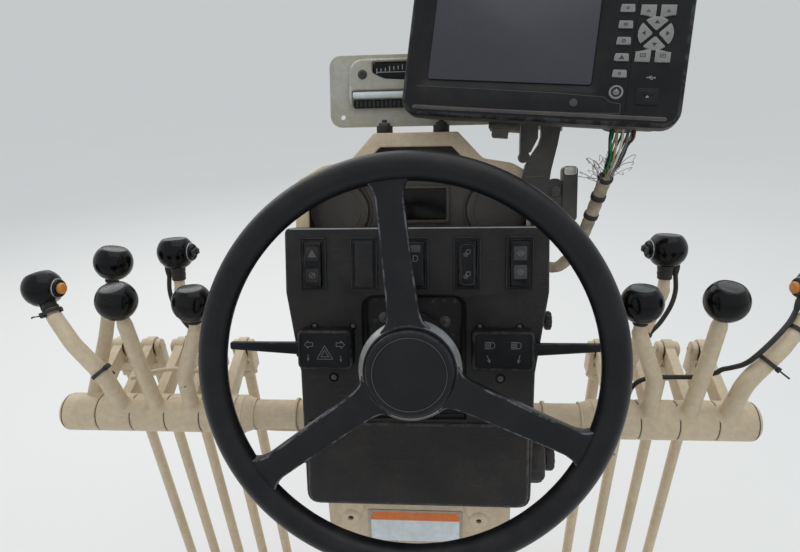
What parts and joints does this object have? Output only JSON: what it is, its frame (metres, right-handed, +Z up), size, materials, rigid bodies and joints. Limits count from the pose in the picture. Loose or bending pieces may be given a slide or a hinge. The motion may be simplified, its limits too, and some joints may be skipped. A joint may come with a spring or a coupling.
{
  "type": "motor grader operator control console",
  "caption": "Motor grader control console: steering wheel, switch panel, instrument pod, display monitor and two banks of hydraulic levers on a cross tube, on a tilting pedestal.",
  "frame": {"origin": "centre of the four floor bolt holes, on the floor plate's underside", "axes": "+Z up, +X to the driver's right, +Y forward, away from the driver"},
  "size_m": [0.979, 0.4101, 1.2156],
  "materials": {
    "tan_paint": "worn satin",
    "panel_plastic": "dusty matt",
    "black_plastic": "matt",
    "wheel_plastic": "worn satin",
    "knob_gloss": "gloss",
    "black_rubber": "matt",
    "grey_rubber": "matt",
    "white_sign": "satin",
    "grey_paint": "satin",
    "dark_steel": "worn satin",
    "dark_glass": "satin",
    "loom_tape": "matt"
  },
  "bodies": {
    "base": {"base_plate": "tan_paint"},
    "console": {"pedestal": "tan_paint", "housing": "tan_paint", "face_panel": "panel_plastic", "indicator_panel": "black_plastic", "rocker_switches": "black_plastic", "left_stalk": "black_plastic", "right_stalk": "black_plastic", "steering_column": "panel_plastic", "cross_tube": "tan_paint", "tilt_knobs": "black_rubber", "sign_plate": "white_sign", "pod_hood": "tan_paint", "pod_face": "panel_plastic", "gauge_covers": "panel_plastic", "pod_display": "black_plastic", "slope_meter_plate": "grey_paint", "slope_meter_dials": "black_plastic", "monitor_case": "black_plastic", "monitor_screen": "dark_glass", "monitor_keys": "grey_rubber", "monitor_arm": "dark_steel", "monitor_loom": "loom_tape", "cross_cable_left": "black_rubber", "cross_cable_right": "black_rubber"},
    "wheel": {"steering_wheel": "wheel_plastic", "wheel_cap": "wheel_plastic"},
    "lever_L1": {"lever_L1": "tan_paint", "knob_L1": "knob_gloss"},
    "rod_L1": {"rod_L1": "tan_paint"},
    "lever_L2": {"lever_L2": "tan_paint", "knob_L2": "knob_gloss", "cable_L2": "black_rubber"},
    "rod_L2": {"rod_L2": "tan_paint"},
    "lever_L3": {"lever_L3": "tan_paint", "knob_L3": "knob_gloss"},
    "rod_L3": {"rod_L3": "tan_paint"},
    "lever_L4": {"lever_L4": "tan_paint", "knob_L4": "knob_gloss"},
    "rod_L4": {"rod_L4": "tan_paint"},
    "lever_L5": {"lever_L5": "tan_paint", "knob_L5": "knob_gloss", "cable_L5": "black_rubber"},
    "rod_L5": {"rod_L5": "tan_paint"},
    "lever_R4": {"lever_R4": "tan_paint", "knob_R4": "knob_gloss", "cable_R4": "black_rubber"},
    "rod_R4": {"rod_R4": "tan_paint"},
    "lever_R3": {"lever_R3": "tan_paint", "knob_R3": "knob_gloss"},
    "rod_R3": {"rod_R3": "tan_paint"},
    "lever_R2": {"lever_R2": "tan_paint", "knob_R2": "knob_gloss"},
    "rod_R2": {"rod_R2": "tan_paint"},
    "lever_R1": {"lever_R1": "tan_paint", "knob_R1": "knob_gloss", "cable_R1": "black_rubber"},
    "rod_R1": {"rod_R1": "tan_paint"}
  },
  "joints": [
    {"name": "console_tilt", "type": "hinge", "parent": "base", "child": "console", "pos_m": [0, 0, 0.062], "axis": [1, 0, 0], "range_deg": [-12, 8]},
    {"name": "wheel_turn", "type": "hinge", "parent": "console", "child": "wheel", "pos_m": [0, -0.14, 0.811], "axis": [0, -0.9659, 0.2588], "continuous": true},
    {"name": "lever_L1_swing", "type": "hinge", "parent": "console", "child": "lever_L1", "pos_m": [-0.4515, 0, 0.656], "axis": [1, 0, 0], "range_deg": [-12, 12]},
    {"name": "rod_L1_pin", "type": "hinge", "parent": "lever_L1", "child": "rod_L1", "pos_m": [-0.4515, 0.11, 0.697], "axis": [1, 0, 0], "range_deg": [-12, 12]},
    {"name": "lever_L2_swing", "type": "hinge", "parent": "console", "child": "lever_L2", "pos_m": [-0.4045, 0, 0.656], "axis": [1, 0, 0], "range_deg": [-12, 12]},
    {"name": "rod_L2_pin", "type": "hinge", "parent": "lever_L2", "child": "rod_L2", "pos_m": [-0.4045, 0.11, 0.697], "axis": [1, 0, 0], "range_deg": [-12, 12]},
    {"name": "lever_L3_swing", "type": "hinge", "parent": "console", "child": "lever_L3", "pos_m": [-0.3575, 0, 0.656], "axis": [1, 0, 0], "range_deg": [-12, 12]},
    {"name": "rod_L3_pin", "type": "hinge", "parent": "lever_L3", "child": "rod_L3", "pos_m": [-0.3575, 0.11, 0.697], "axis": [1, 0, 0], "range_deg": [-12, 12]},
    {"name": "lever_L4_swing", "type": "hinge", "parent": "console", "child": "lever_L4", "pos_m": [-0.3105, 0, 0.656], "axis": [1, 0, 0], "range_deg": [-12, 12]},
    {"name": "rod_L4_pin", "type": "hinge", "parent": "lever_L4", "child": "rod_L4", "pos_m": [-0.3105, 0.11, 0.697], "axis": [1, 0, 0], "range_deg": [-12, 12]},
    {"name": "lever_L5_swing", "type": "hinge", "parent": "console", "child": "lever_L5", "pos_m": [-0.2635, 0, 0.656], "axis": [1, 0, 0], "range_deg": [-12, 12]},
    {"name": "rod_L5_pin", "type": "hinge", "parent": "lever_L5", "child": "rod_L5", "pos_m": [-0.2635, 0.11, 0.697], "axis": [1, 0, 0], "range_deg": [-12, 12]},
    {"name": "lever_R4_swing", "type": "hinge", "parent": "console", "child": "lever_R4", "pos_m": [0.2535, 0, 0.656], "axis": [1, 0, 0], "range_deg": [-12, 12]},
    {"name": "rod_R4_pin", "type": "hinge", "parent": "lever_R4", "child": "rod_R4", "pos_m": [0.2535, 0.11, 0.697], "axis": [1, 0, 0], "range_deg": [-12, 12]},
    {"name": "lever_R3_swing", "type": "hinge", "parent": "console", "child": "lever_R3", "pos_m": [0.3005, 0, 0.656], "axis": [1, 0, 0], "range_deg": [-12, 12]},
    {"name": "rod_R3_pin", "type": "hinge", "parent": "lever_R3", "child": "rod_R3", "pos_m": [0.3005, 0.11, 0.697], "axis": [1, 0, 0], "range_deg": [-12, 12]},
    {"name": "lever_R2_swing", "type": "hinge", "parent": "console", "child": "lever_R2", "pos_m": [0.3475, 0, 0.656], "axis": [1, 0, 0], "range_deg": [-12, 12]},
    {"name": "rod_R2_pin", "type": "hinge", "parent": "lever_R2", "child": "rod_R2", "pos_m": [0.3475, 0.11, 0.697], "axis": [1, 0, 0], "range_deg": [-12, 12]},
    {"name": "lever_R1_swing", "type": "hinge", "parent": "console", "child": "lever_R1", "pos_m": [0.3945, 0, 0.656], "axis": [1, 0, 0], "range_deg": [-12, 12]},
    {"name": "rod_R1_pin", "type": "hinge", "parent": "lever_R1", "child": "rod_R1", "pos_m": [0.3945, 0.11, 0.697], "axis": [1, 0, 0], "range_deg": [-12, 12]}
  ],
  "couplings": [
    {"joint": "rod_L1_pin", "follows": "lever_L1_swing", "ratio": -1},
    {"joint": "rod_L2_pin", "follows": "lever_L2_swing", "ratio": -1},
    {"joint": "rod_L3_pin", "follows": "lever_L3_swing", "ratio": -1},
    {"joint": "rod_L4_pin", "follows": "lever_L4_swing", "ratio": -1},
    {"joint": "rod_L5_pin", "follows": "lever_L5_swing", "ratio": -1},
    {"joint": "rod_R4_pin", "follows": "lever_R4_swing", "ratio": -1},
    {"joint": "rod_R3_pin", "follows": "lever_R3_swing", "ratio": -1},
    {"joint": "rod_R2_pin", "follows": "lever_R2_swing", "ratio": -1},
    {"joint": "rod_R1_pin", "follows": "lever_R1_swing", "ratio": -1}
  ]
}
